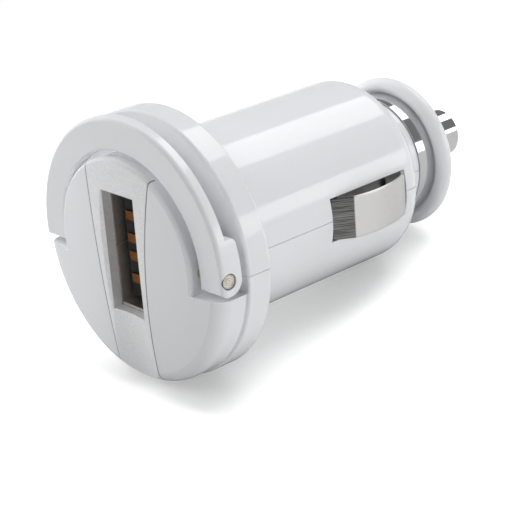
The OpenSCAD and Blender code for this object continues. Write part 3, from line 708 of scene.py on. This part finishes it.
def studio_world():
    world = bpy.data.worlds.new("studio")
    graph = empty_graph(world)
    camera_ray = graph.add("ShaderNodeLightPath", {}, output="Is Camera Ray")
    glossy_ray = graph.add("ShaderNodeLightPath", {}, output="Is Glossy Ray")
    direction = graph.add("ShaderNodeTexCoord", {}, output="Generated")
    rise = graph.add("ShaderNodeSeparateXYZ", {}, direction, output="Z")
    room = ROOM_HORIZON + (ROOM_ZENITH - ROOM_HORIZON) * rise.ramp(0.0, ROOM_EDGE)
    strength = SWEEP * camera_ray + (1.0 - camera_ray) * glossy_ray * room
    graph.end("ShaderNodeOutputWorld", graph.add("ShaderNodeBackground", {}, {"Strength": strength}))
    return world


scene.world = studio_world()
print("world:", scene.world.name)

# %% [markdown]
# ## Lamps
# Each bright patch on the gloss is the mirror image of one lamp, so a softbox is placed by mirroring
# the camera's line of sight on the surface where its image lies. It is a flat panel with rounded
# corners that glows on its front alone. Smaller lamps shade the plastic without showing in its gloss,
# and their strengths were set until the tones agreed with the photograph. One more lamp lights the
# floor alone, which Blender calls light linking: it brings the floor up to white round the shadow.

# %% Lamps
CORNER_STEPS = 6


def softbox(name, middle, toward, width, height, power, corner):
    """A glowing panel that faces a point. Its corners' radius is a share of its shorter side."""
    material = bpy.data.materials.new(name)
    graph = empty_graph(material)
    glow = graph.add("ShaderNodeEmission", {}, {"Strength": power})
    dark = graph.add("ShaderNodeEmission", {}, {"Strength": 0.0})
    back = graph.add("ShaderNodeNewGeometry", {}, output="Backfacing")
    graph.end("ShaderNodeOutputMaterial", graph.add("ShaderNodeMixShader", {}, back, glow, dark))
    turn = (Vector(toward) - Vector(middle)).normalized().to_track_quat("Z", "Y")
    radius = corner * min(width, height)
    points = []
    for sx, sy, start in ((1, 1, 0), (-1, 1, 90), (-1, -1, 180), (1, -1, 270)):
        centre = Vector((sx * (width / 2 - radius), sy * (height / 2 - radius), 0))
        for i in range(CORNER_STEPS + 1):
            a = math.radians(start + 90 * i / CORNER_STEPS)
            points.append(centre + radius * Vector((math.cos(a), math.sin(a), 0)))
    panel = stage_piece(name, [Vector(middle) + turn @ p for p in points], material)
    panel.visible_camera = False
    panel.visible_shadow = False


def fill_lamp(name, middle, toward, size, watts):
    """A lamp that shades the soft surfaces and isn't mirrored in the gloss."""
    data = bpy.data.lights.new(name, "AREA")
    data.shape = "DISK"
    data.size = size
    data.energy = watts
    lamp = bpy.data.objects.new(name, data)
    scene.collection.objects.link(lamp)
    look = (Vector(toward) - Vector(middle)).normalized()
    lamp.location = middle
    lamp.rotation_mode = "QUATERNION"
    lamp.rotation_quaternion = look.to_track_quat("-Z", "Y")
    lamp.visible_glossy = False
    lamp.visible_camera = False
    return lamp


PLUG = (0, 0.01, 0)
FACE = (0, -0.007, 0)
UNDER_PLUG = (0, 0.01, -0.014)
OVERHEAD = (-0.014, 0.345, 0.40)
UNDER_OVERHEAD = (-0.014, 0.345, 0)

softbox("overhead_softbox", OVERHEAD, UNDER_OVERHEAD, width=0.268, height=0.40, power=2.9, corner=0.2)
softbox("right_softbox", (0.42, 0.335, 0.055), (0, 0, 0), width=0.36, height=0.22, power=3.0, corner=0.12)
fill_lamp("near_fill", (-0.060, -0.045, 0.035), FACE, size=0.03, watts=0.003)
fill_lamp("top_left_fill", (-0.30, -0.05, 0.40), PLUG, size=0.3, watts=1.1)
fill_lamp("front_top_fill", (0.0, -0.35, 0.35), PLUG, size=0.3, watts=0.63)
fill_lamp("front_right_fill", (0.35, -0.30, 0.15), PLUG, size=0.3, watts=0.24)
fill_lamp("right_side_fill", (0.45, 0.15, 0.12), PLUG, size=0.2, watts=0.58)
fill_lamp("back_top_fill", (0.10, 0.40, 0.30), PLUG, size=0.3, watts=0.33)
fill_lamp("left_side_fill", (-0.45, -0.10, 0.10), PLUG, size=0.2, watts=1.2)

floor_only = bpy.data.collections.new("floor_only")
floor_only.objects.link(floor)
sweep_lamp = fill_lamp("sweep_lamp", (0.05, 0.10, 0.55), UNDER_PLUG, size=0.5, watts=3.0)
sweep_lamp.light_linking.receiver_collection = floor_only
print("lamps:", len(bpy.data.lights), "beside the two softboxes, one of them for the floor alone")

# %% [markdown]
# ## Camera
# The view was solved from about forty points of the photograph: 49 degrees round from the front and
# 22 degrees above, from 18 cm, with the horizon leaning by about four degrees. The focal length was
# solved in pixels of the photograph, so the lens follows from the picture's width.

# %% Camera
CAMERA_PLACE = (131.604 * MM, -104.163 * MM, 65.114 * MM)
CAMERA_TURN = math.radians(48.91)
CAMERA_LIFT = math.radians(22.12)
CAMERA_LEAN = math.radians(-4.46)
FOCAL_LENGTH_PX = 1716
PICTURE_WIDTH_PX = 512
SENSOR_WIDTH = 36.0
NEAREST = 0.01
FARTHEST = 20.0


def camera():
    """The photograph's camera: its axes from three angles, and its lens from the focal length."""
    level_right = Vector((math.cos(CAMERA_TURN), math.sin(CAMERA_TURN), 0))
    level_back = Vector((math.sin(CAMERA_TURN), -math.cos(CAMERA_TURN), 0))
    back = level_back * math.cos(CAMERA_LIFT) + Vector((0, 0, math.sin(CAMERA_LIFT)))
    upright = back.cross(level_right)
    right = math.cos(CAMERA_LEAN) * level_right + math.sin(CAMERA_LEAN) * upright
    up = -math.sin(CAMERA_LEAN) * level_right + math.cos(CAMERA_LEAN) * upright
    data = bpy.data.cameras.new("camera")
    data.sensor_width = SENSOR_WIDTH
    data.lens = SENSOR_WIDTH * FOCAL_LENGTH_PX / PICTURE_WIDTH_PX
    data.clip_start = NEAREST
    data.clip_end = FARTHEST
    eye = bpy.data.objects.new("camera", data)
    scene.collection.objects.link(eye)
    axes = Matrix((right, up, back)).transposed().to_4x4()
    eye.matrix_world = Matrix.Translation(CAMERA_PLACE) @ axes
    return eye


scene.camera = camera()
scene.view_settings.view_transform = "Standard"
print("camera at", tuple(round(v, 3) for v in scene.camera.matrix_world.translation))

# %% [markdown]
# ## The box
# The last cell prints the size of the box round the dressed model, in millimetres.

# %% Print the box
low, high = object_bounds()
print("box in mm:", [round((top - bottom) / MM, 2) for bottom, top in zip(low, high)])
